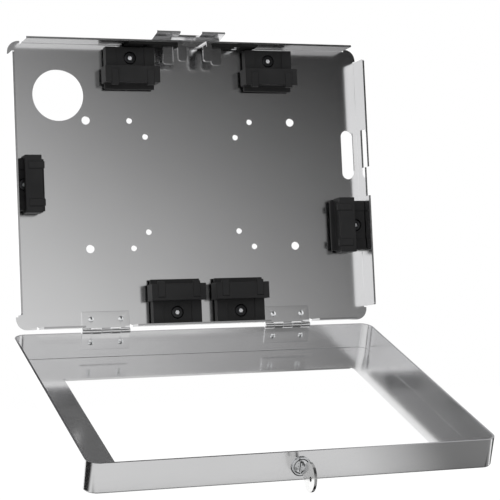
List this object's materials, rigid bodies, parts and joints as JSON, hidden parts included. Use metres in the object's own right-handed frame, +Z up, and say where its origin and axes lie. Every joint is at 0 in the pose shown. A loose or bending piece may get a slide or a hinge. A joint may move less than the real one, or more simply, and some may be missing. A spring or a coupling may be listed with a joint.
{
  "type": "tablet security enclosure",
  "caption": "Wall-mounted steel tablet security enclosure: back plate with clamping holders and a hinged window cover that locks with a key.",
  "frame": {"origin": "centre of the mounting squares on the back plate's rear face", "axes": "+X right seen from the front, +Z up, +Y into the wall; the viewer is at -Y"},
  "size_m": [0.295, 0.2404, 0.3504],
  "materials": {
    "steel_plate": "polished",
    "steel_cover": "polished",
    "hinge_steel": "satin",
    "rivet_steel": "polished",
    "strike_steel": "satin",
    "screw_steel": "satin",
    "plug_steel": "satin",
    "lock_chrome": "polished",
    "key_nickel": "polished",
    "black_plastic": "satin",
    "black_rubber": "matte"
  },
  "bodies": {
    "plate": {"back_plate": "steel_plate", "lock_hood": "steel_plate", "hood_rivets": "rivet_steel", "left_hinge_plate_leaf": "hinge_steel", "right_hinge_plate_leaf": "hinge_steel", "left_hinge_pin": "hinge_steel", "right_hinge_pin": "hinge_steel", "plate_rivets": "rivet_steel", "lock_strike": "strike_steel", "strike_rivets": "rivet_steel", "buffer_strip": "black_rubber", "base_top_left": "black_plastic", "screw_top_left": "screw_steel", "nut_top_left": "screw_steel", "base_top_right": "black_plastic", "screw_top_right": "screw_steel", "nut_top_right": "screw_steel", "base_bottom_left": "black_plastic", "screw_bottom_left": "screw_steel", "nut_bottom_left": "screw_steel", "base_bottom_right": "black_plastic", "screw_bottom_right": "screw_steel", "nut_bottom_right": "screw_steel", "base_left": "black_plastic", "screw_left": "screw_steel", "nut_left": "screw_steel", "base_right": "black_plastic", "screw_right": "screw_steel", "nut_right": "screw_steel"},
    "cover": {"cover_frame": "steel_cover", "left_hinge_cover_leaf": "hinge_steel", "right_hinge_cover_leaf": "hinge_steel", "cover_rivets": "rivet_steel", "lock_body": "lock_chrome", "lock_nut": "lock_chrome"},
    "plug": {"lock_plug": "plug_steel", "lock_cam": "strike_steel", "cam_screw": "screw_steel"},
    "key": {"key": "key_nickel"},
    "slide_top_left": {"jaw_top_left": "black_plastic"},
    "slide_top_right": {"jaw_top_right": "black_plastic"},
    "slide_bottom_left": {"jaw_bottom_left": "black_plastic"},
    "slide_bottom_right": {"jaw_bottom_right": "black_plastic"},
    "slide_left": {"jaw_left": "black_plastic"},
    "slide_right": {"jaw_right": "black_plastic"}
  },
  "joints": [
    {"name": "cover_hinge", "type": "hinge", "parent": "plate", "child": "cover", "pos_m": [0, -0.002, -0.1134], "axis": [1, 0, 0], "range_deg": [-113.11, 0]},
    {"name": "lock_turn", "type": "hinge", "parent": "cover", "child": "plug", "pos_m": [0, -0.20601, -0.21394], "axis": [0, 0.9198, 0.3925], "range_deg": [0, 90]},
    {"name": "key_pull", "type": "slide", "parent": "plug", "child": "key", "axis": [0, -0.9198, -0.3925], "range_m": [0, 0.024]},
    {"name": "top_left_jaw_slide", "type": "slide", "parent": "plate", "child": "slide_top_left", "axis": [0, 0, -1], "range_m": [-0.0018, 0.005]},
    {"name": "top_right_jaw_slide", "type": "slide", "parent": "plate", "child": "slide_top_right", "axis": [0, 0, -1], "range_m": [-0.0018, 0.005]},
    {"name": "bottom_left_jaw_slide", "type": "slide", "parent": "plate", "child": "slide_bottom_left", "axis": [0, 0, 1], "range_m": [-0.0018, 0.005]},
    {"name": "bottom_right_jaw_slide", "type": "slide", "parent": "plate", "child": "slide_bottom_right", "axis": [0, 0, 1], "range_m": [-0.0018, 0.005]},
    {"name": "left_jaw_slide", "type": "slide", "parent": "plate", "child": "slide_left", "axis": [1, 0, 0], "range_m": [-0.0018, 0.005]},
    {"name": "right_jaw_slide", "type": "slide", "parent": "plate", "child": "slide_right", "axis": [-1, 0, 0], "range_m": [-0.0018, 0.005]}
  ]
}
